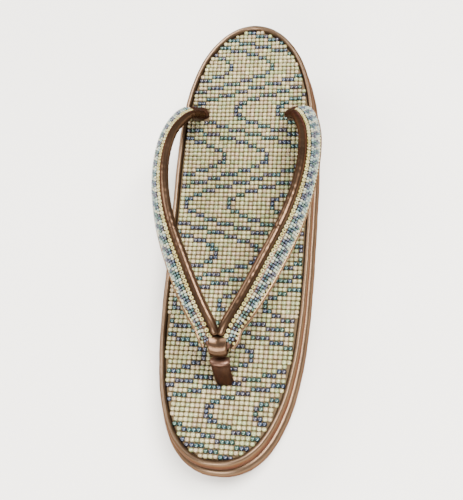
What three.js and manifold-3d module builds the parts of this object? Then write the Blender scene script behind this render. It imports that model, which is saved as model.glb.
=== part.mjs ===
// Zori sandal: a two-layer wrapped wedge sole, a bead-woven insole panel set
// inside a raised rim, and one padded strap held at its front bend by a toe loop.
// Millimetres, +Z up, toe towards -Y, heel towards +Y, floor at z = 0.

import * as THREE from 'three';
import { mergeVertices } from 'three/addons/utils/BufferGeometryUtils.js';
import Module from 'manifold-3d';

// Plan of the insole panel, a koban oval a little wider at the heel
const PANEL_HALF_LENGTH = 112;
const PANEL_HALF_WIDTH = 32.3;
const PANEL_TAPER = 0.055;
const TOE_CURVE = { across: 2.38, along: 3.55 };
const HEEL_CURVE = { across: 1.92, along: 3.73 };
const OUTLINE_STEPS = 80;
const DENSE_STEPS = 600;

// Footbed line, the height of the insole's face along the centre
const FOOTBED = [
  { along: -120, height: 26.6 },
  { along: -90, height: 23.3 },
  { along: -65, height: 21.8 },
  { along: -38, height: 21.9 },
  { along: -10, height: 23.6 },
  { along: 20, height: 28.2 },
  { along: 50, height: 34.1 },
  { along: 80, height: 39.9 },
  { along: 120, height: 46.6 },
];

// Tread line: two flat runs on the floor, an arch between them, a lifted toe and heel tip
const TOE_SPRING = 5.5;
const TOE_SPRING_START = -72;
const TOE_SPRING_END = -117;
const TOE_SPRING_CURVE = 1.8;
const ARCH_RISE = 2.6;
const ARCH_START = -32;
const ARCH_END = 40;
const HEEL_LIFT = 1.2;
const HEEL_LIFT_START = 98;
const HEEL_LIFT_END = 117;

// Layers, as heights below the rim's crest and distances out from the panel's edge
const GAP = 0.3;
const RIM_CREST = 0.8;
const INSOLE_THICKNESS = 2.0;
const RECESS_DEPTH = RIM_CREST + INSOLE_THICKNESS + GAP;
const MIDSOLE_DEPTH = 9.6;
const MIDSOLE_SIDE = [
  { out: 1.7, drop: MIDSOLE_DEPTH },
  { out: 2.6, drop: 9.0 },
  { out: 3.1, drop: 7.4 },
  { out: 3.3, drop: 5.0 },
  { out: 3.2, drop: 2.4 },
  { out: 2.8, drop: 0.9 },
  { out: 2.2, drop: 0.15 },
  { out: 1.6, drop: 0.0 },
  { out: 0.9, drop: 0.35 },
  { out: 0.45, drop: 1.2 },
  { out: GAP, drop: RECESS_DEPTH },
];
const WEDGE_SHOULDER = [
  { out: 1.6, drop: MIDSOLE_DEPTH + GAP },
  { out: 3.5, drop: 10.2 },
  { out: 4.7, drop: 11.5 },
  { out: 5.1, drop: 13.4 },
  { out: 4.8, drop: 15.8 },
];
const WEDGE_FOOT = [
  { out: 3.7, rise: 2.6 },
  { out: 3.1, rise: 0.9 },
  { out: 2.1, rise: 0.0 },
];
const INSOLE_SIDE = [
  { out: -0.3, drop: INSOLE_THICKNESS },
  { out: 0.0, drop: 1.7 },
  { out: 0.0, drop: 0.6 },
  { out: -0.5, drop: 0.0 },
];

// The strap's right arm from the front bend to its end in the side hole.
// reach and along place the middle of the band, rise is its height over the footbed,
// lean turns the outer edge down, in degrees.
const STRAP = [
  { reach: 0.0, along: -67.6, rise: 22.0, width: 6.6, thick: 5.0, lean: 14 },
  { reach: 4.4, along: -65.7, rise: 23.8, width: 5.4, thick: 4.8, lean: 16 },
  { reach: 6.6, along: -61.8, rise: 27.5, width: 4.6, thick: 4.5, lean: 19 },
  { reach: 10.9, along: -55.2, rise: 30.2, width: 5.4, thick: 4.1, lean: 22 },
  { reach: 20.6, along: -36.6, rise: 33.7, width: 6.8, thick: 3.8, lean: 42 },
  { reach: 30.4, along: -12.0, rise: 35.0, width: 7.6, thick: 3.6, lean: 55 },
  { reach: 35.1, along: 12.0, rise: 31.4, width: 7.6, thick: 3.6, lean: 57 },
  { reach: 35.2, along: 34.0, rise: 24.4, width: 8.0, thick: 3.8, lean: 49 },
  { reach: 31.8, along: 49.0, rise: 16.2, width: 8.6, thick: 4.4, lean: 35 },
  { reach: 28.1, along: 57.8, rise: 7.8, width: 8.8, thick: 5.4, lean: 18 },
  { reach: 25.2, along: 62.4, rise: 0.4, width: 8.4, thick: 6.0, lean: 8 },
  { reach: 23.8, along: 64.4, rise: -6.4, width: 7.6, thick: 5.8, lean: 6 },
];
const STRAP_STEPS = 78;
const STRAP_SIDES = 16;
const STRAP_LENGTH_SAMPLES = 400;

// Bead cloth and piping on the strap, by path length from the bend and by angle round the band
const FACE_START = 5.4;
const FACE_END = 137;
const FACE_STEPS = 32;
const FACE_SIDES = 8;
const FACE_OUTER_ANGLE = 16;
const FACE_INNER_ANGLE_FRONT = 132;
const FACE_INNER_ANGLE = 157;
const FACE_THICKNESS = 1.2;
const PIPING_RADIUS = 2.0;
const PIPING_ANGLE_FRONT = 166;
const PIPING_ANGLE = 188;
const TURN_START = 14;
const TURN_END = 46;
const PIPING_START = 11.2;
const PIPING_END = 142;
const PIPING_STEPS = 40;
const PIPING_SIDES = 8;

// Toe loop round the bend, and the post from the loop into the front hole
const LOOP_HALF_LENGTH = 4.6;
const LOOP_THICKNESS = 1.7;
const LOOP_STEPS = 8;
const POST_LINE = [
  { along: -76.8, rise: -6.4, width: 8.0, depth: 4.4 },
  { along: -76.4, rise: 0.0, width: 8.2, depth: 4.6 },
  { along: -75.0, rise: 8.0, width: 8.4, depth: 4.8 },
  { along: -72.6, rise: 14.5, width: 8.4, depth: 4.6 },
  { along: -69.4, rise: 19.0, width: 8.0, depth: 4.0 },
];
const POST_STEPS = 14;
const POST_SIDES = 16;

const WRAP = { color: 0x6e4c28, metalness: 0.5, roughness: 0.4 };
const LINING = { color: 0x573a1e, metalness: 0.4, roughness: 0.45 };
const BEADS = { color: 0xe4dcc8, metalness: 0.0, roughness: 0.3 };

const wasm = await Module();
wasm.setup();

// Smooth value of one column of a table, by cubic steps between its rows
function tableValue(rows, key, position, column) {
  let i = 0;
  while (i < rows.length - 2 && position > rows[i + 1][key]) i += 1;
  const slope = (k) => {
    const a = rows[Math.max(k - 1, 0)];
    const b = rows[Math.min(k + 1, rows.length - 1)];
    return (b[column] - a[column]) / (b[key] - a[key]);
  };
  const low = rows[i];
  const high = rows[i + 1];
  const span = high[key] - low[key];
  const t = THREE.MathUtils.clamp((position - low[key]) / span, 0, 1);
  const bend = t * t * (3 - 2 * t);
  const start = t * (1 - t) * (1 - t) * span * slope(i);
  const end = -t * t * (1 - t) * span * slope(i + 1);
  return low[column] + (high[column] - low[column]) * bend + start + end;
}

function footbed(along) {
  return tableValue(FOOTBED, 'along', along, 'height');
}

function tread(along) {
  const toe = THREE.MathUtils.clamp((along - TOE_SPRING_START) / (TOE_SPRING_END - TOE_SPRING_START), 0, 1);
  const heel = THREE.MathUtils.clamp((along - HEEL_LIFT_START) / (HEEL_LIFT_END - HEEL_LIFT_START), 0, 1);
  const arch = THREE.MathUtils.clamp((along - ARCH_START) / (ARCH_END - ARCH_START), 0, 1);
  const archRise = ARCH_RISE * Math.sin(Math.PI * arch) ** 2;
  return TOE_SPRING * toe ** TOE_SPRING_CURVE + HEEL_LIFT * heel ** 2 + archRise;
}

// One point of the panel's edge, the turn running from the toe tip round the right side
function panelPoint(turn) {
  const curve = turn < 0 ? TOE_CURVE : HEEL_CURVE;
  const v = Math.sign(turn) * Math.abs(Math.sin(turn)) ** (2 / curve.along);
  const half = PANEL_HALF_WIDTH * Math.abs(Math.cos(turn)) ** (2 / curve.across);
  return new THREE.Vector2(half * (1 + PANEL_TAPER * v), PANEL_HALF_LENGTH * v);
}

// The closed panel edge in equal steps, with its outward normals
function panelOutline(steps) {
  const dense = [];
  for (let i = 0; i <= DENSE_STEPS; i += 1) {
    dense.push(panelPoint(-Math.PI / 2 + (Math.PI * i) / DENSE_STEPS));
  }
  dense[0].x = 0;
  dense[DENSE_STEPS].x = 0;
  const lengths = [0];
  for (let i = 1; i <= DENSE_STEPS; i += 1) {
    lengths.push(lengths[i - 1] + dense[i].distanceTo(dense[i - 1]));
  }
  const half = steps / 2;
  const right = [];
  let k = 0;
  for (let i = 0; i <= half; i += 1) {
    const target = (lengths[DENSE_STEPS] * i) / half;
    while (k < DENSE_STEPS - 1 && lengths[k + 1] < target) k += 1;
    const t = (target - lengths[k]) / (lengths[k + 1] - lengths[k]);
    right.push(dense[k].clone().lerp(dense[k + 1], THREE.MathUtils.clamp(t, 0, 1)));
  }
  const left = right.slice(1, half).reverse().map((p) => new THREE.Vector2(-p.x, p.y));
  const points = right.concat(left);
  const normals = points.map((p, i) => {
    const next = points[(i + 1) % steps];
    const back = points[(i + steps - 1) % steps];
    const run = next.clone().sub(back).normalize();
    return new THREE.Vector2(run.y, -run.x);
  });
  return { points, normals };
}

const OUTLINE = panelOutline(OUTLINE_STEPS);

// A ring of the sole at one distance out from the panel's edge
function soleRing(out, heightAt) {
  return OUTLINE.points.map((p, i) => {
    const x = p.x + OUTLINE.normals[i].x * out;
    const y = p.y + OUTLINE.normals[i].y * out;
    return new THREE.Vector3(x, y, heightAt(y));
  });
}

// Indexed geometry from vertices and triangles
function solidGeometry(vertices, triangles) {
  const geometry = new THREE.BufferGeometry();
  const flat = vertices.flatMap((v) => [v.x, v.y, v.z]);
  geometry.setAttribute('position', new THREE.Float32BufferAttribute(flat, 3));
  geometry.setIndex(triangles);
  return geometry;
}

// A closed solid from stacked rings, bridged side to side at the bottom and the top
function ringStack(rings) {
  const count = rings[0].length;
  const vertices = rings.flat();
  const triangles = [];
  for (let r = 0; r < rings.length - 1; r += 1) {
    for (let i = 0; i < count; i += 1) {
      const j = (i + 1) % count;
      const a = r * count + i;
      const b = r * count + j;
      const c = a + count;
      const d = b + count;
      triangles.push(a, b, d, a, d, c);
    }
  }
  const bridge = (base, up) => {
    for (let i = 0; i < count / 2; i += 1) {
      const a = base + i;
      const b = base + i + 1;
      const c = base + ((count - i - 1) % count);
      const d = base + ((count - i) % count);
      const faces = [];
      if (i < count / 2 - 1) faces.push([a, b, c]);
      if (i > 0) faces.push([a, c, d]);
      faces.forEach(([p, q, s]) => triangles.push(...(up ? [p, q, s] : [p, s, q])));
    }
  };
  bridge(0, false);
  bridge((rings.length - 1) * count, true);
  return solidGeometry(vertices, triangles);
}

// A closed solid from sections along a path, capped by a fan at each end
function sweptSolid(sections) {
  const count = sections[0].length;
  const vertices = sections.flat();
  const triangles = [];
  for (let s = 0; s < sections.length - 1; s += 1) {
    for (let i = 0; i < count; i += 1) {
      const j = (i + 1) % count;
      const a = s * count + i;
      const b = s * count + j;
      const c = a + count;
      const d = b + count;
      triangles.push(a, d, b, a, c, d);
    }
  }
  const cap = (section, base, flip) => {
    const middle = new THREE.Vector3();
    section.forEach((v) => middle.add(v));
    vertices.push(middle.divideScalar(count));
    const hub = vertices.length - 1;
    for (let i = 0; i < count; i += 1) {
      const j = (i + 1) % count;
      triangles.push(...(flip ? [hub, base + j, base + i] : [hub, base + i, base + j]));
    }
  };
  cap(sections[0], 0, false);
  cap(sections[sections.length - 1], (sections.length - 1) * count, true);
  return solidGeometry(vertices, triangles);
}

function toManifold(geometry) {
  const merged = mergeVertices(geometry);
  return new wasm.Manifold(new wasm.Mesh({
    numProp: 3,
    vertProperties: new Float32Array(merged.attributes.position.array),
    triVerts: new Uint32Array(merged.index.array),
  }));
}

function fromManifold(solid) {
  const mesh = solid.getMesh();
  const geometry = new THREE.BufferGeometry();
  geometry.setAttribute('position', new THREE.Float32BufferAttribute(mesh.vertProperties, 3));
  geometry.setIndex(Array.from(mesh.triVerts));
  return geometry;
}

// The whole strap as one path, the left arm mirrored from the right
const STRAP_ROWS = STRAP.slice(1).reverse().map((row) => ({ ...row, reach: -row.reach })).concat(STRAP);
STRAP_ROWS.forEach((row, i) => {
  row.index = i;
});
const STRAP_PATH = new THREE.CatmullRomCurve3(
  STRAP_ROWS.map((row) => new THREE.Vector3(row.reach, row.along, footbed(row.along) + row.rise)),
  false,
  'centripetal',
);
STRAP_PATH.arcLengthDivisions = STRAP_LENGTH_SAMPLES;
const STRAP_LENGTH = STRAP_PATH.getLength();

// Place, axes and size of the band at one path length from the bend, negative on the left arm
function strapFrame(length) {
  const share = THREE.MathUtils.clamp((length + STRAP_LENGTH / 2) / STRAP_LENGTH, 0, 1);
  const t = STRAP_PATH.getUtoTmapping(share);
  const position = t * (STRAP_ROWS.length - 1);
  const tangent = STRAP_PATH.getTangent(t);
  const level = tangent.clone().cross(new THREE.Vector3(0, 0, 1)).normalize();
  const raised = level.clone().cross(tangent).normalize();
  const lean = THREE.MathUtils.degToRad(tableValue(STRAP_ROWS, 'index', position, 'lean'));
  const across = level.clone().multiplyScalar(Math.cos(lean)).addScaledVector(raised, -Math.sin(lean));
  return {
    point: STRAP_PATH.getPoint(t),
    across,
    normal: across.clone().cross(tangent).normalize(),
    halfWidth: tableValue(STRAP_ROWS, 'index', position, 'width') / 2,
    halfThick: tableValue(STRAP_ROWS, 'index', position, 'thick') / 2,
  };
}

// A point round the band: angle 0 at the outer edge, 90 on the face, 180 at the inner edge
function bandPoint(frame, degrees, grow) {
  const angle = THREE.MathUtils.degToRad(degrees);
  const p = (frame.halfWidth + grow) * Math.cos(angle);
  const q = (frame.halfThick + grow) * Math.sin(angle);
  return frame.point.clone().addScaledVector(frame.across, p).addScaledVector(frame.normal, q);
}

function bandSection(length, grow, sides) {
  const frame = strapFrame(length);
  const ring = [];
  for (let i = 0; i < sides; i += 1) {
    ring.push(bandPoint(frame, (360 * i) / sides, grow));
  }
  return ring;
}

function bandSweep(from, to, steps, grow) {
  const sections = [];
  for (let i = 0; i <= steps; i += 1) {
    sections.push(bandSection(from + ((to - from) * i) / steps, grow, STRAP_SIDES));
  }
  return sweptSolid(sections);
}

// An angle round the band that turns gently from its value at the toes to its value on the arm
function turned(front, arm, along) {
  return front + (arm - front) * THREE.MathUtils.smoothstep(along, TURN_START, TURN_END);
}

// The bead cloth of one arm, a thin shell over the face of the band
function faceSolid(side) {
  const sections = [];
  for (let i = 0; i <= FACE_STEPS; i += 1) {
    const along = FACE_START + ((FACE_END - FACE_START) * i) / FACE_STEPS;
    const frame = strapFrame(side * along);
    const ring = [];
    const inner = turned(FACE_INNER_ANGLE_FRONT, FACE_INNER_ANGLE, along);
    for (let k = 0; k <= FACE_SIDES; k += 1) {
      const angle = FACE_OUTER_ANGLE + ((inner - FACE_OUTER_ANGLE) * k) / FACE_SIDES;
      ring.push(bandPoint(frame, angle, GAP + FACE_THICKNESS));
    }
    for (let k = FACE_SIDES; k >= 0; k -= 1) {
      const angle = FACE_OUTER_ANGLE + ((inner - FACE_OUTER_ANGLE) * k) / FACE_SIDES;
      ring.push(bandPoint(frame, angle, GAP));
    }
    sections.push(ring);
  }
  return sweptSolid(side > 0 ? sections : sections.reverse());
}

// The piping of one arm, a round cord beside the inner edge of the band
function pipingSolid(side) {
  const sections = [];
  for (let i = 0; i <= PIPING_STEPS; i += 1) {
    const along = PIPING_START + ((PIPING_END - PIPING_START) * i) / PIPING_STEPS;
    const frame = strapFrame(side * along);
    const middle = bandPoint(frame, turned(PIPING_ANGLE_FRONT, PIPING_ANGLE, along), GAP + PIPING_RADIUS);
    const ring = [];
    for (let k = 0; k < PIPING_SIDES; k += 1) {
      const angle = (2 * Math.PI * k) / PIPING_SIDES;
      const point = middle.clone().addScaledVector(frame.across, PIPING_RADIUS * Math.cos(angle));
      ring.push(point.addScaledVector(frame.normal, PIPING_RADIUS * Math.sin(angle)));
    }
    sections.push(ring);
  }
  return sweptSolid(side > 0 ? sections : sections.reverse());
}

// The post, an oval section swept in the middle plane from the hole up to the loop
function postSolid(grow) {
  const rows = POST_LINE.map((row, index) => ({ ...row, index }));
  const path = new THREE.CatmullRomCurve3(
    rows.map((row) => new THREE.Vector3(0, row.along, footbed(POST_LINE[1].along) + row.rise)),
    false,
    'centripetal',
  );
  const sections = [];
  for (let i = 0; i <= POST_STEPS; i += 1) {
    const t = i / POST_STEPS;
    const position = t * (rows.length - 1);
    const across = new THREE.Vector3(1, 0, 0);
    const normal = across.clone().cross(path.getTangent(t)).normalize();
    const halfWidth = tableValue(rows, 'index', position, 'width') / 2 + grow;
    const halfDepth = tableValue(rows, 'index', position, 'depth') / 2 + grow;
    const ring = [];
    for (let k = 0; k < POST_SIDES; k += 1) {
      const angle = (2 * Math.PI * k) / POST_SIDES;
      const point = path.getPoint(t).addScaledVector(across, halfWidth * Math.cos(angle));
      ring.push(point.addScaledVector(normal, halfDepth * Math.sin(angle)));
    }
    sections.push(ring);
  }
  return sweptSolid(sections);
}

const crest = (along) => footbed(along) + RIM_CREST;
const wedgeFoot = WEDGE_FOOT.map((row) => soleRing(row.out, (y) => tread(y) + row.rise)).reverse();
const wedgeShoulder = WEDGE_SHOULDER.map((row) => soleRing(row.out, (y) => crest(y) - row.drop)).reverse();
const midsoleRings = MIDSOLE_SIDE.map((row) => soleRing(row.out, (y) => crest(y) - row.drop));
const insoleRings = INSOLE_SIDE.map((row) => soleRing(row.out, (y) => footbed(y) - row.drop));
const wedge = toManifold(ringStack(wedgeFoot.concat(wedgeShoulder)));
const midsoleBlank = toManifold(ringStack(midsoleRings));
const insoleBlank = toManifold(ringStack(insoleRings));

const halfPath = STRAP_LENGTH / 2;
const strap = toManifold(bandSweep(-halfPath, halfPath, STRAP_STEPS, 0));
const strapRoom = toManifold(bandSweep(-halfPath, halfPath, STRAP_STEPS, GAP));
const postRoom = toManifold(postSolid(GAP));
const loopOuter = toManifold(bandSweep(-LOOP_HALF_LENGTH, LOOP_HALF_LENGTH, LOOP_STEPS, GAP + LOOP_THICKNESS));
const roomHalf = LOOP_HALF_LENGTH + GAP;
const loopRoom = toManifold(bandSweep(-roomHalf, roomHalf, LOOP_STEPS, 2 * GAP + LOOP_THICKNESS));
const loop = loopOuter.subtract(strapRoom);
const post = toManifold(postSolid(0)).subtract(loopRoom);
const midsole = midsoleBlank.subtract(strapRoom).subtract(postRoom);
const insole = insoleBlank.subtract(strapRoom).subtract(postRoom);

const part = new THREE.Group();
part.name = 'zori_sandal';

function addPiece(name, geometry, finish) {
  const mesh = new THREE.Mesh(geometry, new THREE.MeshStandardMaterial(finish));
  mesh.name = name;
  part.add(mesh);
}

addPiece('outsole_wedge', fromManifold(wedge), WRAP);
addPiece('midsole', fromManifold(midsole), WRAP);
addPiece('bead_insole', fromManifold(insole), BEADS);
addPiece('straps', fromManifold(strap), LINING);
addPiece('bead_face_right', faceSolid(1), BEADS);
addPiece('bead_face_left', faceSolid(-1), BEADS);
addPiece('piping_right', pipingSolid(1), WRAP);
addPiece('piping_left', pipingSolid(-1), WRAP);
addPiece('toe_loop', fromManifold(loop), WRAP);
addPiece('toe_post', fromManifold(post), WRAP);

export default part;
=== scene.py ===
# %% [markdown]
# # A zori sandal with a bead-woven insole
# This lesson dresses a packed sandal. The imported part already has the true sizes:
# a wedge sole in two wrapped layers, a panel of beads inside a raised rim, and one
# padded strap that a toe loop holds at its bend. Here each solid is replaced by a
# finer piece of the same size, and every finish is made with shader nodes.

# %% Load the packed sandal
import math

import bmesh
import bpy
import numpy as np
from mathutils import Matrix, Vector


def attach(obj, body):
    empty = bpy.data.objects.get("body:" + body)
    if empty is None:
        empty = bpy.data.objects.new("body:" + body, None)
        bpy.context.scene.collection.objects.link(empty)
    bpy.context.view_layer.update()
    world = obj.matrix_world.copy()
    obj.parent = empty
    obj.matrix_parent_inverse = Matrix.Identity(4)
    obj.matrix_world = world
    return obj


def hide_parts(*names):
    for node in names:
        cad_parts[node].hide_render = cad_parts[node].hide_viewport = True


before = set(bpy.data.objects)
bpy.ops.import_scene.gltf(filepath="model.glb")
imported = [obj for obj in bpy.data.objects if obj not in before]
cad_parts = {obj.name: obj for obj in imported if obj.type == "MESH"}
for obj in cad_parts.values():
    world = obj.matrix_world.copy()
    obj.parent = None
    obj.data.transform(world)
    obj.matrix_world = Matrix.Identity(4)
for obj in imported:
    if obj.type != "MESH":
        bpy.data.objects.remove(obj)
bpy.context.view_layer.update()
MM = 0.001
BODY = "root"
print("packed nodes:", ", ".join(sorted(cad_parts)))

# %% [markdown]
# ## The camera
# The picture was taken by hand from above the toes, a little to the right of the
# sandal. A camera could be turned by eye, but its place was worked out from the
# panel's outline, so it is written here as a place, a target and a roll.

# %% Camera
CAMERA_PLACE = (0.0563, -0.1685, 0.3277)
CAMERA_TARGET = (-0.0029, -0.0119, 0.0250)
CAMERA_ROLL = 6.4
CAMERA_LENS = 51.0


def look(place, target, roll, lens):
    back = (Vector(place) - Vector(target)).normalized()
    up = (Vector((0, 1, 0)) - back * back.y).normalized()
    right = up.cross(back)
    turn = math.radians(roll)
    side = right * math.cos(turn) + up * math.sin(turn)
    top = back.cross(side)
    camera = bpy.data.objects.new("camera", bpy.data.cameras.new("camera"))
    bpy.context.scene.collection.objects.link(camera)
    axes = Matrix((side, top, back)).transposed().to_4x4()
    camera.matrix_world = Matrix.Translation(place) @ axes
    camera.data.lens = lens
    camera.data.clip_start = 0.01
    bpy.context.scene.camera = camera
    return camera


camera = look(CAMERA_PLACE, CAMERA_TARGET, CAMERA_ROLL, CAMERA_LENS)
print("camera distance", round((Vector(CAMERA_PLACE) - Vector(CAMERA_TARGET)).length, 3), "m")

# %% [markdown]
# ## Curves from short tables
# The sole and the strap are both given by a few rows of numbers. A smooth curve
# through such rows could be a Blender spline, but the same numbers are needed for
# beads, stitches and wrinkles, so two small functions work them out directly.


# %% Table curves
def table_curve(stations, values, position):
    stations = np.asarray(stations, float)
    values = np.asarray(values, float)
    position = np.clip(position, stations[0], stations[-1])
    low = np.clip(np.searchsorted(stations, position, side="right") - 1, 0, len(stations) - 2)
    ahead = np.minimum(np.arange(len(stations)) + 1, len(stations) - 1)
    behind = np.maximum(np.arange(len(stations)) - 1, 0)
    slope = (values[ahead] - values[behind]) / (stations[ahead] - stations[behind])
    span = stations[low + 1] - stations[low]
    t = (position - stations[low]) / span
    step = t * t * (3 - 2 * t)
    start = t * (1 - t) ** 2 * span * slope[low]
    end = -t * t * (1 - t) * span * slope[low + 1]
    return values[low] + (values[low + 1] - values[low]) * step + start + end


def round_curve(rows, position):
    rows = np.asarray(rows, float)
    full = np.vstack([2 * rows[0] - rows[1], rows, 2 * rows[-1] - rows[-2]])
    low = np.clip(np.floor(position).astype(int), 0, len(rows) - 2)
    t = (position - low)[:, None]
    p0, p1, p2, p3 = (full[low + k] for k in range(4))
    pairs = ((p0, p1), (p1, p2), (p2, p3))
    gap = [np.maximum(((b - a) ** 2).sum(1, keepdims=True) ** 0.25, 1e-4) for a, b in pairs]
    start = ((p1 - p0) / gap[0] - (p2 - p0) / (gap[0] + gap[1]) + (p2 - p1) / gap[1]) * gap[1]
    end = ((p2 - p1) / gap[1] - (p3 - p1) / (gap[1] + gap[2]) + (p3 - p2) / gap[2]) * gap[1]
    a = 2 * p1 - 2 * p2 + start + end
    b = -3 * p1 + 3 * p2 - 2 * start - end
    return a * t**3 + b * t**2 + start * t + p1


print("a curve through 1, 4, 9 at 1.5 gives", table_curve([0, 1, 2], [1, 4, 9], np.array([1.5])))

# %% [markdown]
# ## One way to skin a shape
# Most pieces here are a skin stretched over a rule: a grid of quads whose place in
# space is a function of two numbers. `create_grid` makes the quads and their UV map,
# the function moves the vertices, and merging doubles closes the seam. This keeps
# every piece smooth and gives materials a UV map that follows the surface.


# %% Skin and piece helpers
def finished(bm, name, finishes, smooth=True):
    mesh = bpy.data.meshes.new(name)
    bm.to_mesh(mesh)
    bm.free()
    piece = bpy.data.objects.new(name, mesh)
    bpy.context.scene.collection.objects.link(piece)
    for finish in finishes:
        mesh.materials.append(finish)
    if smooth:
        mesh.shade_smooth()
    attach(piece, BODY)
    return piece


def skin(around, along, place):
    bm = bmesh.new()
    bm.loops.layers.uv.new("UVMap")
    bmesh.ops.create_grid(bm, x_segments=around, y_segments=along, size=0.5, calc_uvs=True)
    spots = np.array([vert.co[:2] for vert in bm.verts]) + 0.5
    points = place(spots[:, 0], spots[:, 1]) * MM
    for vert, point in zip(bm.verts, points):
        vert.co = point
    bmesh.ops.remove_doubles(bm, verts=bm.verts, dist=1e-6)
    bmesh.ops.dissolve_degenerate(bm, edges=bm.edges, dist=1e-7)
    bmesh.ops.recalc_face_normals(bm, faces=bm.faces)
    return bm


def describe(piece):
    size = [round(v * 1000, 1) for v in piece.dimensions]
    print(piece.name, len(piece.data.polygons), "faces", size, "mm")


# %% [markdown]
# ## Shader sums
# A finish is easier to read as a sum than as a list of links. This class wraps one
# socket, so `0.3 + 0.1 * grain` adds the Math nodes itself, and its `add` method
# makes any other node from its type, its settings and its inputs.


# %% Shader wires
class Wire:
    def __init__(self, tree, socket=None):
        self.tree = tree
        self.socket = socket

    def add(self, kind, settings=None, inputs=None, output=0):
        node = self.tree.nodes.new(kind)
        for key, value in (settings or {}).items():
            if key == "stops":
                ramp = node.color_ramp
                while len(ramp.elements) < len(value):
                    ramp.elements.new(0.5)
                for element, (spot, colour) in zip(ramp.elements, value):
                    element.position = spot
                    element.color = (*colour, 1.0)
            else:
                setattr(node, key, value)
        for key, value in (inputs or {}).items():
            if isinstance(value, Wire):
                self.tree.links.new(value.socket, node.inputs[key])
            else:
                node.inputs[key].default_value = value
        return Wire(self.tree, node.outputs[output])

    def math(self, operation, *values):
        return self.add("ShaderNodeMath", {"operation": operation}, dict(enumerate(values)))

    def noise(self, place, scale, detail):
        inputs = {"Vector": place, "Scale": scale, "Detail": detail}
        return self.add("ShaderNodeTexNoise", {}, inputs, "Fac")

    def bump(self, strength, distance):
        inputs = {"Height": self, "Strength": strength, "Distance": distance}
        return self.add("ShaderNodeBump", {}, inputs, "Normal")

    def mix(self, first, second):
        return self.add("ShaderNodeMix", {"data_type": "RGBA"}, {0: self, 6: first, 7: second}, 2)

    def __add__(self, other):
        return self.math("ADD", self, other)

    def __radd__(self, other):
        return self.math("ADD", other, self)

    def __sub__(self, other):
        return self.math("SUBTRACT", self, other)

    def __rsub__(self, other):
        return self.math("SUBTRACT", other, self)

    def __mul__(self, other):
        return self.math("MULTIPLY", self, other)

    def __rmul__(self, other):
        return self.math("MULTIPLY", other, self)


def start_finish(name):
    material = bpy.data.materials.new(name)
    material.use_nodes = True
    tree = material.node_tree
    tree.nodes.clear()
    return material, Wire(tree)


def end_finish(wire, changing, fixed):
    shader = wire.tree.nodes.new("ShaderNodeBsdfPrincipled")
    for key, value in fixed.items():
        shader.inputs[key].default_value = value
    for key, value in changing.items():
        wire.tree.links.new(value.socket, shader.inputs[key])
    out = wire.tree.nodes.new("ShaderNodeOutputMaterial")
    wire.tree.links.new(shader.outputs[0], out.inputs[0])


print("shader wires ready")

# %% [markdown]
# ## Bronze leatherette
# Sole, piping, loop and lining are one coated leather: a warm brown with a metal
# flake coat, nearly smooth, with a fine grain and soft rubbed patches. Metal with a
# mixed roughness gives the long golden highlights and the dark brown between them.

# %% Bronze finishes
BRONZE_GRAZE = (0.34, 0.245, 0.175, 1.0)


def bronze(name, dark, light, grain_depth, rough):
    material, wire = start_finish(name)
    place = wire.add("ShaderNodeTexCoord", output="Object")
    patches = wire.noise(place, 70.0, 3.0)
    flake = wire.noise(place, 2600.0, 2.0)
    grain = wire.add("ShaderNodeTexVoronoi", {}, {"Vector": place, "Scale": 1500.0}, "Distance")
    share = patches.math("MULTIPLY_ADD", flake, 0.35, patches * 0.75)
    colour = share.mix((*dark, 1.0), (*light, 1.0))
    height = grain * 0.6 + flake * 0.4 + patches * 0.8
    bump = height.bump(grain_depth, 0.00025)
    changing = {"Base Color": colour, "Roughness": rough + 0.14 * patches, "Normal": bump}
    fixed = {"Metallic": 0.9, "Specular IOR Level": 0.3, "Specular Tint": BRONZE_GRAZE}
    end_finish(wire, changing, fixed)
    return material


BRONZE_WRAP = bronze("bronze_wrap", (0.050, 0.0300, 0.0195), (0.185, 0.120, 0.074), 0.2, 0.30)
BRONZE_LINING = bronze("bronze_lining", (0.047, 0.0255, 0.0195), (0.145, 0.080, 0.056), 0.25, 0.32)
BRONZE_PIPING = bronze("bronze_piping", (0.030, 0.0165, 0.0108), (0.108, 0.063, 0.037), 0.14, 0.22)
BRONZE_EDGE = bronze("bronze_edge", (0.066, 0.038, 0.021), (0.26, 0.160, 0.090), 0.12, 0.20)
print("bronze finishes:", BRONZE_WRAP.name, BRONZE_LINING.name, BRONZE_PIPING.name, BRONZE_EDGE.name)

# %% [markdown]
# ## Glass beads
# Each bead carries its own tint in a colour attribute. The alpha of the tint says
# how metallic the bead's coat is: nothing for pearl, a lot for the dark blue ones.
# A thin clear coat gives all of them the small sharp lights of glass.


# %% Bead finish
def bead_glass(name, rough, coat):
    material, wire = start_finish(name)
    tint = wire.add("ShaderNodeAttribute", {"attribute_name": "tint"}, {}, "Color")
    shine = wire.add("ShaderNodeAttribute", {"attribute_name": "tint"}, {}, "Alpha")
    place = wire.add("ShaderNodeTexCoord", output="Object")
    cloud = wire.noise(place, 900.0, 1.0)
    changing = {"Base Color": tint, "Metallic": shine * 0.75, "Roughness": rough + 0.12 * cloud}
    end_finish(wire, changing, {"Coat Weight": coat, "Coat Roughness": 0.06, "IOR": 1.5})
    return material


BEAD_GLASS = bead_glass("bead_glass", 0.14, 0.6)
print("bead finish:", BEAD_GLASS.name)

# %% [markdown]
# ## Cloth, thread and tread
# The beads are sewn on an ochre ground cloth that shows as dark specks between them.
# The tread under the sole is a plain sheet with a fine pebble.


# %% Ground, thread and tread finishes
def ground_cloth(name, dark, light):
    material, wire = start_finish(name)
    place = wire.add("ShaderNodeTexCoord", output="Object")
    weave = wire.noise(place, 1800.0, 2.0)
    bump = weave.bump(0.5, 0.0002)
    colour = weave.mix((*dark, 1.0), (*light, 1.0))
    end_finish(wire, {"Base Color": colour, "Normal": bump}, {"Roughness": 0.85})
    return material


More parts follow.
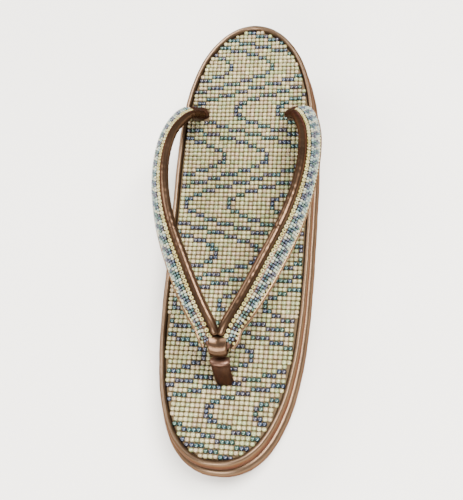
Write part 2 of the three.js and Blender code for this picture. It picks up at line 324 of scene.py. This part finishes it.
def pebble_tread(name):
    material, wire = start_finish(name)
    place = wire.add("ShaderNodeTexCoord", output="Object")
    pebble = wire.add("ShaderNodeTexVoronoi", {}, {"Vector": place, "Scale": 600.0}, "Distance")
    soil = wire.noise(place, 45.0, 4.0)
    bump = pebble.bump(0.5, 0.0004)
    colour = soil.mix((0.045, 0.03, 0.02, 1.0), (0.12, 0.085, 0.06, 1.0))
    end_finish(wire, {"Base Color": colour, "Roughness": 0.55 + 0.25 * soil, "Normal": bump}, {})
    return material


GROUND = ground_cloth("ochre_ground", (0.034, 0.019, 0.007), (0.11, 0.068, 0.026))
THREAD = ground_cloth("brown_thread", (0.03, 0.02, 0.014), (0.075, 0.05, 0.035))
TREAD = pebble_tread("pebble_tread")
print("ground, thread and tread ready")

# %% [markdown]
# ## The sole's plan and lines
# The panel is a koban oval, a little fuller at the heel. Every ring of the sole is
# this edge moved out or in along its normal, so the oval is kept as a closed list of
# points with normals, and a share from 0 to 1 runs from the toe tip round the right.

# %% Sole plan
PANEL_LENGTH = 112.0
PANEL_WIDTH = 32.3
PANEL_TAPER = 0.055
TOE_CURVE = (2.38, 3.55)
HEEL_CURVE = (1.92, 3.73)
EDGE_STEPS = 4000


def panel_edge():
    turn = np.linspace(-np.pi / 2, np.pi / 2, 6001)
    toe = turn < 0
    across = np.where(toe, TOE_CURVE[0], HEEL_CURVE[0])
    along = np.where(toe, TOE_CURVE[1], HEEL_CURVE[1])
    v = np.sign(turn) * np.abs(np.sin(turn)) ** (2 / along)
    x = PANEL_WIDTH * np.abs(np.cos(turn)) ** (2 / across) * (1 + PANEL_TAPER * v)
    x[[0, -1]] = 0
    half = np.stack([x, PANEL_LENGTH * v], 1)
    loop = np.vstack([half, half[-2::-1] * (-1, 1)])
    run = np.concatenate([[0], np.cumsum(np.hypot(*np.diff(loop, axis=0).T))])
    share = np.linspace(0, 1, EDGE_STEPS + 1)
    points = np.stack([np.interp(share, run / run[-1], loop[:, k]) for k in range(2)], 1)
    ring = points[:-1]
    step = np.roll(ring, -8, axis=0) - np.roll(ring, 8, axis=0)
    normal = np.stack([step[:, 1], -step[:, 0]], 1) / np.hypot(*step.T)[:, None]
    return share, points, np.vstack([normal, normal[:1]]), run[-1]


EDGE_SHARE, EDGE_POINT, EDGE_NORMAL, EDGE_RUN = panel_edge()


def edge_at(share):
    spot = np.stack([np.interp(share, EDGE_SHARE, EDGE_POINT[:, k]) for k in range(2)], 1)
    out = np.stack([np.interp(share, EDGE_SHARE, EDGE_NORMAL[:, k]) for k in range(2)], 1)
    return spot, out


print("panel edge", round(EDGE_RUN), "mm round")

# %% Sole lines
FOOTBED_STATIONS = [-120, -90, -65, -38, -10, 20, 50, 80, 120]
FOOTBED_HEIGHTS = [26.6, 23.3, 21.8, 21.9, 23.6, 28.2, 34.1, 39.9, 46.6]
RIM_CREST = 0.8


def footbed(y):
    return table_curve(FOOTBED_STATIONS, FOOTBED_HEIGHTS, y)


def tread_line(y):
    toe = np.clip((y + 72) / -45, 0, 1)
    heel = np.clip((y - 98) / 19, 0, 1)
    arch = np.clip((y + 32) / 72, 0, 1)
    return 5.5 * toe**1.8 + 1.2 * heel**2 + 2.6 * np.sin(np.pi * arch) ** 2


def sole_place(rows, wander):
    dense = round_curve(np.array(rows, float), np.linspace(0, len(rows) - 1.0001, 400))
    stops = np.linspace(0, 1, 400)

    def place(u, v):
        out, top, lift, pull = (np.interp(v, stops, dense[:, k]) for k in range(4))
        spot, normal = edge_at(u)
        out = out + wander(u, v) * (1 - pull)
        x = (spot[:, 0] + normal[:, 0] * out) * (1 - np.clip(pull, 0, 1))
        y = spot[:, 1] + normal[:, 1] * out
        z = top * (footbed(y) + RIM_CREST) + (1 - top) * tread_line(y) + lift
        return np.stack([x, y, z], 1)

    return place


print("heel height", footbed(np.array([112.0]))[0], "mm")

# %% [markdown]
# ## The wedge layer
# The lower layer is a wedge wrapped in bronze leatherette, pulled in under the layer
# above, swelling to a full rib just below it and falling straight to the floor. Each
# row gives the distance out from the panel's edge, whether the height counts from the
# rim or from the tread, the lift from there, and how far the row closes to the middle.

# %% Wedge wrap
WEDGE_ROWS = [
    (2.1, 0, 0.0, 1.0),
    (2.1, 0, 0.0, 0.5),
    (2.1, 0, 0.0, 0.03),
    (2.1, 0, 0.0, 0.0),
    (2.75, 0, 0.28, 0.0),
    (3.3, 0, 1.1, 0.0),
    (3.7, 0, 2.6, 0.0),
    (4.25, 0.5, -6.5, 0.0),
    (4.8, 1, -15.8, 0.0),
    (5.1, 1, -13.4, 0.0),
    (4.7, 1, -11.5, 0.0),
    (3.5, 1, -10.2, 0.0),
    (1.6, 1, -9.9, 0.0),
    (1.5, 1, -9.9, 0.04),
    (1.5, 1, -9.9, 1.0),
]


def slack(u, v):
    broad = 0.05 * np.sin(2 * np.pi * (23 * u + 0.3)) * np.sin(np.pi * v)
    fine = 0.03 * np.sin(2 * np.pi * 61 * u + 9 * v)
    return broad + fine


wedge = finished(skin(256, 60, sole_place(WEDGE_ROWS, slack)), "wedge_wrap", [BRONZE_WRAP, TREAD])
for face in wedge.data.polygons:
    face.material_index = 1 if face.normal.z < -0.85 else 0
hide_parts("outsole_wedge")
describe(wedge)

# %% [markdown]
# ## The rim layer
# The upper layer is wrapped too. Its top edge is a rounded lip that stands just above
# the beads, and inside the lip a shallow recess takes the panel.

# %% Rim wrap
RIM_ROWS = [
    (1.7, 1, -9.6, 1.0),
    (1.7, 1, -9.6, 0.04),
    (1.7, 1, -9.6, 0.0),
    (2.6, 1, -9.0, 0.0),
    (3.1, 1, -7.4, 0.0),
    (3.3, 1, -5.0, 0.0),
    (3.2, 1, -2.4, 0.0),
    (2.8, 1, -0.9, 0.0),
    (2.2, 1, -0.15, 0.0),
    (1.6, 1, 0.0, 0.0),
    (0.9, 1, -0.35, 0.0),
    (0.45, 1, -1.2, 0.0),
    (0.3, 1, -3.0, 0.0),
    (0.2, 1, -3.1, 0.03),
    (0.2, 1, -3.1, 1.0),
]

rim = finished(skin(256, 64, sole_place(RIM_ROWS, slack)), "rim_wrap", [BRONZE_WRAP])
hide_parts("midsole")
describe(rim)

# %% [markdown]
# ## The bead panel
# The panel is woven bead by bead: every bead lies with its hole across the foot, row
# after row from toe to heel. One small bead is spun from a seven-point profile and then
# copied with arrays, because thousands of separate objects would be slow. A thin ground
# cloth lies below.

# %% Panel ground
PANEL_ROWS = [
    (-0.1, 1, -2.9, 1.0),
    (-0.1, 1, -2.9, 0.03),
    (-0.1, 1, -2.9, 0.0),
    (0.05, 1, -2.6, 0.0),
    (-0.1, 1, -2.35, 0.0),
    (-0.3, 1, -2.3, 0.03),
    (-0.3, 1, -2.3, 1.0),
]


def still(u, v):
    return 0 * u


panel = finished(skin(200, 28, sole_place(PANEL_ROWS, still)), "panel_ground", [GROUND])
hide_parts("bead_insole")
describe(panel)

# %% One bead
BEAD_PROFILE = [
    (-0.84, 0.30),
    (-0.92, 0.46),
    (-0.62, 0.82),
    (0.0, 1.0),
    (0.62, 0.82),
    (0.92, 0.46),
    (0.84, 0.30),
]
RING_PROFILE = [
    (-0.80, 0.44),
    (-0.92, 0.62),
    (-0.60, 0.90),
    (0.0, 1.0),
    (0.60, 0.90),
    (0.92, 0.62),
    (0.80, 0.44),
]
BEAD_SIDES = 8


def spin_bead(profile, sides):
    bm = bmesh.new()
    verts = [bm.verts.new((x, 0, r)) for x, r in profile]
    edges = [bm.edges.new((a, b)) for a, b in zip(verts, verts[1:] + verts[:1])]
    bmesh.ops.spin(
        bm,
        geom=verts + edges,
        cent=(0, 0, 0),
        axis=(1, 0, 0),
        angle=2 * math.pi,
        steps=sides,
        use_merge=True,
    )
    bmesh.ops.recalc_face_normals(bm, faces=bm.faces)
    bm.verts.index_update()
    points = np.array([vert.co[:] for vert in bm.verts])
    quads = np.array([[vert.index for vert in face.verts] for face in bm.faces])
    bm.free()
    return points, quads


BEAD_POINTS, BEAD_QUADS = spin_bead(BEAD_PROFILE, BEAD_SIDES)
RING_POINTS = spin_bead(RING_PROFILE, BEAD_SIDES)[0]


def string_beads(name, centres, axes, sizes, tints, rings=False):
    count = len(centres)
    wide = np.broadcast_to(rings, count)[:, None, None]
    local = np.where(wide, RING_POINTS[None], BEAD_POINTS[None]) * sizes[:, None, :]
    points = (np.einsum("nvk,nkc->nvc", local, axes) + centres[:, None]) * MM
    quads = BEAD_QUADS[None] + (np.arange(count) * len(BEAD_POINTS))[:, None, None]
    mesh = bpy.data.meshes.new(name)
    mesh.vertices.add(count * len(BEAD_POINTS))
    mesh.vertices.foreach_set("co", points.astype(np.float32).ravel())
    mesh.loops.add(quads.size)
    mesh.loops.foreach_set("vertex_index", quads.astype(np.int32).ravel())
    mesh.polygons.add(quads.size // 4)
    mesh.polygons.foreach_set("loop_start", np.arange(0, quads.size, 4, dtype=np.int32))
    mesh.update(calc_edges=True)
    mesh.validate()
    layer = mesh.attributes.new("tint", "FLOAT_COLOR", "POINT")
    layer.data.foreach_set("color", np.repeat(tints, len(BEAD_POINTS), axis=0).astype(np.float32).ravel())
    mesh.materials.append(BEAD_GLASS)
    mesh.shade_smooth()
    piece = bpy.data.objects.new(name, mesh)
    bpy.context.scene.collection.objects.link(piece)
    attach(piece, BODY)
    return piece


print("one bead has", len(BEAD_QUADS), "faces")

# %% [markdown]
# The pattern is a flowing-water wave: one curve, repeated every ten columns, swings
# from side to side over about twenty-three rows. In each row the beads that the curve
# crosses are dark, so steep stretches become single beads and flat ones become dashes.

# %% Panel beads
BEAD_PITCH = 2.2
PANEL_BEAD_ROWS = 101
WAVE_PERIOD = 23.3
WAVE_SWING = 14.2
WAVE_REPEAT = 10.0
WAVE_CREST_ROW = 20.7
WAVE_CREST_COLUMN = 5.2
EDGE_CLEAR = 0.8
EDGE_REACH = 0.2
PEARL = np.array([
    (0.282, 0.250, 0.120),
    (0.336, 0.302, 0.158),
    (0.300, 0.231, 0.133),
    (0.240, 0.252, 0.119),
])
IRIS = np.array([
    (0.036, 0.082, 0.088),
    (0.034, 0.048, 0.082),
    (0.046, 0.094, 0.074),
    (0.052, 0.050, 0.072),
])
chance = np.random.default_rng(24)


def tint_from(palette, count, spread):
    pick = palette[chance.integers(0, len(palette), count)]
    return np.clip(pick * (1 + spread * chance.standard_normal((count, 1))), 0, 1)


def panel_grid():
    y = np.linspace(-PANEL_LENGTH, PANEL_LENGTH, 4001)
    z = footbed(y)
    run = np.concatenate([[0], np.cumsum(np.hypot(np.diff(y), np.diff(z)))])
    pitch = run[-1] / PANEL_BEAD_ROWS
    row_y = np.interp((np.arange(PANEL_BEAD_ROWS) + 0.5) * pitch, run, y)
    rows, columns = np.meshgrid(np.arange(PANEL_BEAD_ROWS), np.arange(-16, 17), indexing="ij")
    rows = rows.ravel()
    columns = columns.ravel()
    return rows, columns, columns * BEAD_PITCH, row_y[rows]


def wave_mask(rows, columns):
    phase = 2 * np.pi * (rows - WAVE_CREST_ROW) / WAVE_PERIOD
    curve = WAVE_CREST_COLUMN - WAVE_SWING + WAVE_SWING * np.cos(phase)
    reach = np.maximum(0.5 * WAVE_SWING * 2 * np.pi / WAVE_PERIOD * np.abs(np.sin(phase)), 0.75)
    offset = (columns - curve + WAVE_REPEAT / 2) % WAVE_REPEAT - WAVE_REPEAT / 2
    return np.abs(offset) <= reach


def panel_half(y):
    right = EDGE_POINT[: EDGE_STEPS // 2 + 1]
    return np.interp(y, right[:, 1], right[:, 0])


def settle(x, y, columns):
    """Press the outermost beads of each row inwards until they clear the rim."""
    limit = panel_half(y) - EDGE_CLEAR
    last = np.floor((panel_half(y) - EDGE_REACH) / BEAD_PITCH)
    excess = np.maximum(last * BEAD_PITCH - limit, 0)
    share = np.clip(1 - 0.36 * (last - np.abs(columns)), 0, 1)
    return x - np.sign(x) * excess * share, np.abs(columns) <= last


rows, columns, bead_x, bead_y = panel_grid()
bead_x, kept = settle(bead_x, bead_y, columns)
kept &= panel_half(bead_y) > 4
print("panel beads:", kept.sum())

# %% [markdown]
# ## The strap's course
# The strap is one band from the left hole over the bend to the right hole. Its rows
# give the middle of the band, its height over the footbed, its width and thickness and
# how far its outer edge leans down. A point on the band is a path length from the bend
# and an angle round its section: 0 at the outer edge, 90 on the face, 180 inside.

# %% Strap course
STRAP = np.array([
    (0.0, -67.6, 22.0, 6.6, 5.0, 14),
    (4.4, -65.7, 23.8, 5.4, 4.8, 16),
    (6.6, -61.8, 27.5, 4.6, 4.5, 19),
    (10.9, -55.2, 30.2, 5.4, 4.1, 22),
    (20.6, -36.6, 33.7, 6.8, 3.8, 42),
    (30.4, -12.0, 35.0, 7.6, 3.6, 55),
    (35.1, 12.0, 31.4, 7.6, 3.6, 57),
    (35.2, 34.0, 24.4, 8.0, 3.8, 49),
    (31.8, 49.0, 16.2, 8.6, 4.4, 35),
    (28.1, 57.8, 7.8, 8.8, 5.4, 18),
    (25.2, 62.4, 0.4, 8.4, 6.0, 8),
    (23.8, 64.4, -6.4, 7.6, 5.8, 6),
])
STRAP_ROWS = np.vstack([STRAP[:0:-1] * (-1, 1, 1, 1, 1, 1), STRAP])
STRAP_PATH = np.stack([STRAP_ROWS[:, 0], STRAP_ROWS[:, 1], footbed(STRAP_ROWS[:, 1]) + STRAP_ROWS[:, 2]], 1)
PATH_INDEX = np.linspace(0, len(STRAP_ROWS) - 1.0001, 4001)
PATH_POINT = round_curve(STRAP_PATH, PATH_INDEX)
PATH_RUN = np.concatenate([[0], np.cumsum(np.linalg.norm(np.diff(PATH_POINT, axis=0), axis=1))])
STRAP_HALF = PATH_RUN[-1] / 2
PATH_TANGENT = np.gradient(PATH_POINT, axis=0)


def unit(v):
    return v / np.linalg.norm(v, axis=-1, keepdims=True)


def band_frame(length):
    index = np.interp(length + STRAP_HALF, PATH_RUN, PATH_INDEX)
    point = np.stack([np.interp(index, PATH_INDEX, PATH_POINT[:, k]) for k in range(3)], -1)
    tangent = unit(np.stack([np.interp(index, PATH_INDEX, PATH_TANGENT[:, k]) for k in range(3)], -1))
    level = unit(np.cross(tangent, (0.0, 0.0, 1.0)))
    raised = np.cross(level, tangent)
    stations = np.arange(len(STRAP_ROWS))
    width, thick, lean = (table_curve(stations, STRAP_ROWS[:, k], index) for k in (3, 4, 5))
    lean = np.radians(lean)[..., None]
    across = level * np.cos(lean) - raised * np.sin(lean)
    return point, tangent, across, np.cross(across, tangent), width / 2, thick / 2


def band(length, degrees, grow):
    point, _, across, normal, half_width, half_thick = band_frame(length)
    p = (half_width + grow) * np.cos(np.radians(degrees))
    q = (half_thick + grow) * np.sin(np.radians(degrees))
    return point + across * p[..., None] + normal * q[..., None]


print("strap", round(2 * STRAP_HALF), "mm from end to end")

# %% [markdown]
# ## Panel beads, placed
# Where the strap's ends and the toe post go down through the panel the weaver leaves
# beads out. Those places are known now, so the beads are set here: pearl ones in one
# piece and dark ones in another.

# %% Set the panel beads
HOLES = [(25.0, 62.6, 4.6, 3.9), (-25.0, 62.6, 4.6, 3.9), (0.0, -76.4, 4.3, 2.6)]
for hole_x, hole_y, reach_x, reach_y in HOLES:
    kept &= ((bead_x - hole_x) / reach_x) ** 2 + ((bead_y - hole_y) / reach_y) ** 2 > 1
rows, columns, bead_x, bead_y = (values[kept] for values in (rows, columns, bead_x, bead_y))
dark = wave_mask(rows, columns)


def panel_bead_frames(x, y):
    count = len(x)
    slope = np.arctan((footbed(y + 0.5) - footbed(y - 0.5)))
    zero = np.zeros(count)
    run = np.stack([zero, np.cos(slope), np.sin(slope)], 1)
    up = np.stack([zero, -np.sin(slope), np.cos(slope)], 1)
    sway = 0.07 * chance.standard_normal(count)
    tip = 0.06 * chance.standard_normal(count)
    side = unit(np.stack([zero + 1, sway, tip], 1))
    run = unit(np.cross(up, side))
    up = np.cross(side, run)
    height = footbed(y) - 1.02 + 0.05 * chance.standard_normal(count)
    shake = 0.05 * chance.standard_normal((count, 2))
    centres = np.stack([x + shake[:, 0], y + shake[:, 1], height], 1)
    sizes = np.array([1.12, 1.12, 1.08]) * (1 + 0.03 * chance.standard_normal((count, 1)))
    return centres, np.stack([side, run, up], 1), sizes


def bead_tints(palette, count, shine):
    return np.hstack([tint_from(palette, count, 0.10), np.full((count, 1), shine)])


front = bead_y < 0
SETS = (
    ("panel_beads_pearl_front", ~dark & front, PEARL, 0.0),
    ("panel_beads_pearl_back", ~dark & ~front, PEARL, 0.0),
    ("panel_beads_iris", dark, IRIS, 0.8),
)
for name, chosen, palette, shine in SETS:
    centres, axes, sizes = panel_bead_frames(bead_x[chosen], bead_y[chosen])
    beads = string_beads(name, centres, axes, sizes, bead_tints(palette, len(centres), shine))
    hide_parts("bead_insole")
    describe(beads)

# %% [markdown]
# ## The padded strap
# Under the beads the strap is a soft roll covered in the same bronze leatherette. Its
# ends, bare of beads, are squeezed into the side holes and crease there, so folds are
# pressed into the skin close to each end.


# %% Strap body
def end_creases(length, degrees):
    near = np.clip((np.abs(length) - 126) / 22, 0, 1)
    turn = np.radians(degrees)
    broad = np.sin(0.62 * np.abs(length) + 1.6 * np.sin(turn))
    narrow = 0.6 * np.sin(1.05 * np.abs(length) - 2.0 * np.cos(turn))
    folds = broad + narrow
    return 0.62 * near * folds * (1 - 0.5 * near)


def strap_place(u, v):
    length = STRAP_HALF * (2 * np.clip((v - 0.01) / 0.98, 0, 1) - 1)
    close = np.minimum(np.clip(v / 0.01, 0, 1), np.clip((1 - v) / 0.01, 0, 1))
    degrees = 360 * (1 - u)
    skin_point = band(length, degrees, end_creases(length, degrees))
    middle = band_frame(length)[0]
    return middle + (skin_point - middle) * close[:, None]


strap = finished(skin(40, 300, strap_place), "strap_body", [BRONZE_LINING])
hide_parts("straps")
describe(strap)

# %% [markdown]
# ## Piping and edge binding
# A thick round piping runs along the inner edge and a thin fold along the outer one.
# Both are tubes that follow the band, so one function skins them, with ends drawn shut.
# Fine cross wrinkles show where the piping is bent round the foot, and the right piping
# has one cross joint half way along the front of the arm.

# %% Piping and edge
TURN_START = 14
TURN_END = 46
JOINT_PLACE = 58
JOINT_WIDTH = 0.55
JOINT_DEPTH = 0.14
PIPING = {
    "start": 6.6,
    "end": 142.5,
    "degrees": (166, 188),
    "radius": 2.05,
    "steps": 300,
    "pucker": 0.025,
}
BINDING = {
    "start": 4.4,
    "end": 138.5,
    "degrees": (14, 17),
    "radius": 0.88,
    "steps": 150,
    "pucker": 0.03,
}


def turned(front, arm, length):
    t = np.clip((np.abs(length) - TURN_START) / (TURN_END - TURN_START), 0, 1)
    return front + (arm - front) * t * t * (3 - 2 * t)


def tube(name, side, start, end, degrees, radius, steps, pucker, finish):
    def place(u, v):
        length = side * (start + (end - start) * np.clip((v - 0.015) / 0.97, 0, 1))
        close = np.minimum(np.clip(v / 0.015, 0, 1), np.clip((1 - v) / 0.015, 0, 1))
        across, normal = band_frame(length)[2:4]
        middle = band(length, turned(*degrees, length), np.full(len(u), radius + 0.1))
        turn = 2 * np.pi * u
        wrinkle = 1 + pucker * np.sin(1.7 * length + 1.2 * np.sin(turn)) * np.sin(0.23 * length)
        joint = 1 - JOINT_DEPTH * np.exp(-(((length - JOINT_PLACE) / JOINT_WIDTH) ** 2))
        size = radius * np.sqrt(np.clip(1 - (1 - close) ** 2, 0, 1)) * wrinkle * joint
        return middle + across * (size * np.cos(turn))[:, None] + normal * (size * np.sin(turn))[:, None]

    return finished(skin(18, steps, place), name, [finish])


for side, word in ((1, "right"), (-1, "left")):
    piping = tube("piping_roll_" + word, side, finish=BRONZE_PIPING, **PIPING)
    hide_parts("piping_" + word)
    describe(piping)
    edge = tube("edge_binding_" + word, side, finish=BRONZE_EDGE, **BINDING)
    describe(edge)

# %% [markdown]
# ## Beads on the strap
# The strap's beads are smaller. Next to the piping one row of cream beads stands on
# end, so their holes show; then come pale beads with dark ones in slanting groups, and
# a thinner row of cream beads on end closes the face beside the outer binding.

# %% Strap beads
RING_PITCH = 2.0
STRAP_PITCH = 1.45
FACE_START = 6.0
FACE_END = 137
FACE_INNER_ANGLES = (142, 163)
FACE_OUTER_ANGLE = 34
CREAM = np.array([(0.37, 0.315, 0.115), (0.405, 0.36, 0.17), (0.335, 0.28, 0.095)])
AQUA = np.array([
    (0.21, 0.255, 0.205),
    (0.29, 0.294, 0.218),
    (0.17, 0.238, 0.214),
    (0.305, 0.288, 0.188),
])
SLANT = np.array([(1, 1, 0, 0), (1, 1, 1, 0), (0, 0, 1, 1), (0, 0, 0, 1)], bool)


def face_line(length):
    angles = np.linspace(turned(*FACE_INNER_ANGLES, length), FACE_OUTER_ANGLE, 60)
    line = band(np.full(60, length), angles, np.full(60, 0.85))
    run = np.concatenate([[0], np.cumsum(np.linalg.norm(np.diff(line, axis=0), axis=1))])
    return run, angles


def ring_column(side, offset_from_inner):
    spots = np.arange(FACE_START, FACE_END, RING_PITCH) * side
    angles = np.zeros(len(spots))
    for k, length in enumerate(spots):
        run, line = face_line(length)
        place = offset_from_inner if offset_from_inner > 0 else run[-1] + offset_from_inner
        angles[k] = np.interp(place, run, line)
    return spots, angles


def small_columns(side):
    found = []
    for row, length in enumerate(np.arange(FACE_START, FACE_END, STRAP_PITCH) * side):
        run, line = face_line(length)
        places = np.arange(RING_PITCH + 0.6 * STRAP_PITCH, run[-1] - 0.9, STRAP_PITCH)
        found += [(length, angle, column, row) for column, angle in enumerate(np.interp(places, run, line))]
    return np.array(found).T


def strap_bead_frames(length, degrees, standing, size):
    count = len(length)
    turn = np.radians(degrees)[:, None]
    _, tangent, across, normal, half_width, half_thick = band_frame(length)
    sideways = across * np.cos(turn) / half_width[:, None]
    outward = unit(sideways + normal * np.sin(turn) / half_thick[:, None])
    over = np.cross(tangent, outward)
    hole = unit((outward if standing else over) + 0.10 * chance.standard_normal((count, 3)))
    second = unit(np.cross(hole, tangent + 0.01))
    centres = band(length, degrees, np.full(count, 0.72))
    sizes = size * (1 + 0.04 * chance.standard_normal((count, 1)))
    return centres, np.stack([hole, second, np.cross(hole, second)], 1), sizes


RING_SIZE = np.array([0.62, 0.98, 0.98])
THIN_RING_SIZE = np.array([0.5, 0.66, 0.66])
SMALL_SIZE = np.array([0.70, 0.74, 0.74])


def strap_face(side):
    length, degrees, column, row = small_columns(side)
    dark = SLANT[column.astype(int) % 4, row.astype(int) % 4]
    small = bead_tints(AQUA, len(length), 0.0)
    small[dark] = bead_tints(IRIS, dark.sum(), 0.8)
    parts = [(*strap_bead_frames(length, degrees, False, SMALL_SIZE), small, np.zeros(len(length), bool))]
    for offset, size in ((0.5 * RING_PITCH, RING_SIZE), (-0.1, THIN_RING_SIZE)):
        length, degrees = ring_column(side, offset)
        cream = bead_tints(CREAM, len(length), 0.0)
        parts.append((*strap_bead_frames(length, degrees, True, size), cream, np.ones(len(length), bool)))
    return [np.concatenate(column) for column in zip(*parts)]


for side, word in ((1, "right"), (-1, "left")):
    beads = string_beads("strap_beads_" + word, *strap_face(side))
    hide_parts("bead_face_" + word)
    describe(beads)

# %% [markdown]
# ## The toe loop and the post
# A satin band is folded round the strap's bend, and a rolled tongue goes from it into
# the front hole. The loop is a skin whose section is a rounded strip carried round the
# band; the post is an oval carried along a short curve, with a small lip at the top.

# %% Toe loop
LOOP_FOLLOW = (1.0, 0.55, 0.55)
LOOP_EASE = 0.06
LOOP_SECTION = np.array([
    (-4.6, 0.25),
    (-4.75, 1.1),
    (-4.4, 1.85),
    (-3.0, 2.0),
    (0, 2.04),
    (3.0, 2.0),
    (4.4, 1.85),
    (4.75, 1.1),
    (4.6, 0.25),
    (0, 0.2),
])


def loop_place(u, v):
    closed = np.vstack([LOOP_SECTION, LOOP_SECTION[:1]])
    dense = round_curve(closed, np.linspace(0, len(closed) - 1.0001, 200))
    length, grow = (np.interp(v, np.linspace(0, 1, 200), dense[:, k]) for k in range(2))
    ends = np.minimum(v, 1 - v)
    length = np.where(ends < 1e-6, LOOP_SECTION[0, 0], length)
    grow = np.where(ends < 1e-6, LOOP_SECTION[0, 1], grow)
    bend = band_frame(np.zeros(len(u)))
    centre = bend[0] + (band_frame(length)[0] - bend[0]) * LOOP_FOLLOW
    turn = 2 * np.pi * u
    p = (bend[4] + grow + LOOP_EASE * np.abs(length)) * np.cos(turn)
    q = (bend[5] + grow + LOOP_EASE * np.abs(length)) * np.sin(turn)
    return centre + bend[2] * p[:, None] + bend[3] * q[:, None]


loop = finished(skin(48, 36, loop_place), "toe_band", [BRONZE_PIPING])
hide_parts("toe_loop")
describe(loop)

# %% Toe post
POST = np.array([
    (-76.8, -5.5, 8.0, 4.4),
    (-76.4, 0.0, 8.2, 4.6),
    (-75.4, 6.8, 8.4, 4.8),
    (-74.1, 12.0, 8.5, 4.8),
    (-72.8, 16.2, 8.5, 4.7),
])


def post_place(u, v):
    t = np.clip(v / 0.93, 0, 1) * (len(POST) - 1.0001)
    row = round_curve(POST, t)
    ahead = round_curve(POST, np.minimum(t + 0.01, len(POST) - 1.0001))
    behind = round_curve(POST, np.maximum(t - 0.01, 0))
    rise = unit(np.stack([0 * u, ahead[:, 0] - behind[:, 0], ahead[:, 1] - behind[:, 1]], 1))
    side = np.tile((1.0, 0.0, 0.0), (len(u), 1))
    front = np.cross(rise, side)
    top = np.clip((v - 0.93) / 0.07, 0, 1)
    close = np.sqrt(np.clip(1 - top**2, 0, 1))
    lip = 0.35 * np.exp(-(((v - 0.9) / 0.045) ** 2))
    base = footbed(POST[1:2, 0])[0]
    middle = np.stack([0 * u, row[:, 0], base + row[:, 1]], 1) + rise * (0.9 * top)[:, None]
    turn = 2 * np.pi * u
    wide = (row[:, 2] / 2 + lip) * close
    deep = (row[:, 3] / 2 + lip) * close
    flat = np.sign(np.cos(turn)) * np.abs(np.cos(turn)) ** 0.8
    return middle + side * (wide * flat)[:, None] + front * (deep * np.sin(turn))[:, None]


post = finished(skin(36, 40, post_place), "toe_tongue", [BRONZE_LINING])
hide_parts("toe_post")
describe(post)

# %% [markdown]
# ## Stitches
# A dark thread holds the bead cloth to the piping. Each stitch is a tiny squashed ball
# from `create_icosphere`, and one joined mesh holds a whole side.

# %% Stitches beside the piping
STITCH_START = 10.0
STITCH_STEP = 1.5
STITCH_ANGLES = (148, 170)
STITCH_LIFT = 0.55
STITCH_SIZE = (0.42, 0.62, 0.36)


def stitch_row(name, side):
    bm = bmesh.new()
    for length in np.arange(STITCH_START, FACE_END, STITCH_STEP) * side:
        spot = np.array([length])
        tangent, across, normal = band_frame(spot)[1:4]
        centre = band(spot, turned(*STITCH_ANGLES, spot), np.array([STITCH_LIFT]))[0] * MM
        turn = Matrix((across[0], tangent[0], normal[0])).transposed().to_4x4()
        size = Matrix.Diagonal((*(MM * part for part in STITCH_SIZE), 1.0))
        place = Matrix.Translation(centre) @ turn @ size
        bmesh.ops.create_icosphere(bm, subdivisions=1, radius=1.0, matrix=place)
    return finished(bm, name, [THREAD])


for side, word in ((1, "right"), (-1, "left")):
    stitches = stitch_row("stitches_" + word, side)
    describe(stitches)

# %% [markdown]
# ## Floor and light
# The sandal stands on a pale cloth-covered table in soft room light: a wide soft
# light from above the right side, weaker ones from the toes and the left, and a pale
# even room.


# %% Floor
def pale_floor():
    material, wire = start_finish("pale_floor")
    place = wire.add("ShaderNodeTexCoord", output="Object")
    cloth = wire.noise(place, 9.0, 2.0)
    colour = cloth.mix((0.95, 0.92, 0.87, 1.0), (0.98, 0.955, 0.915, 1.0))
    end_finish(wire, {"Base Color": colour}, {"Roughness": 0.9, "Specular IOR Level": 0.2})
    bm = bmesh.new()
    bmesh.ops.create_grid(bm, x_segments=4, y_segments=4, size=2.5)
    mesh = bpy.data.meshes.new("floor")
    bm.to_mesh(mesh)
    bm.free()
    mesh.materials.append(material)
    floor = bpy.data.objects.new("floor", mesh)
    bpy.context.scene.collection.objects.link(floor)
    return floor


floor = pale_floor()
print("floor ready")


# %% Lights
def soft_light(name, place, target, size, power, colour):
    data = bpy.data.lights.new(name, "AREA")
    data.shape = "DISK"
    data.size = size
    data.energy = power
    data.color = colour
    light = bpy.data.objects.new(name, data)
    light.location = place
    light.rotation_mode = "QUATERNION"
    light.rotation_quaternion = (Vector(target) - Vector(place)).to_track_quat("-Z", "Y")
    bpy.context.scene.collection.objects.link(light)
    return light


soft_light("key", (0.36, 0.10, 1.08), (0, 0, 0.03), 0.6, 42.0, (1.0, 0.98, 0.94))
soft_light("front", (-0.15, -0.95, 0.60), (0, -0.05, 0.03), 0.55, 21.0, (1.0, 0.97, 0.92))
soft_light("window", (-0.95, 0.35, 0.85), (0, 0, 0.03), 0.8, 19.0, (1.0, 0.98, 0.95))
room = bpy.data.worlds.new("room")
room.use_nodes = True
room.node_tree.nodes["Background"].inputs[0].default_value = (0.95, 0.97, 1.0, 1.0)
room.node_tree.nodes["Background"].inputs[1].default_value = 0.6
bpy.context.scene.world = room
print("lights ready")
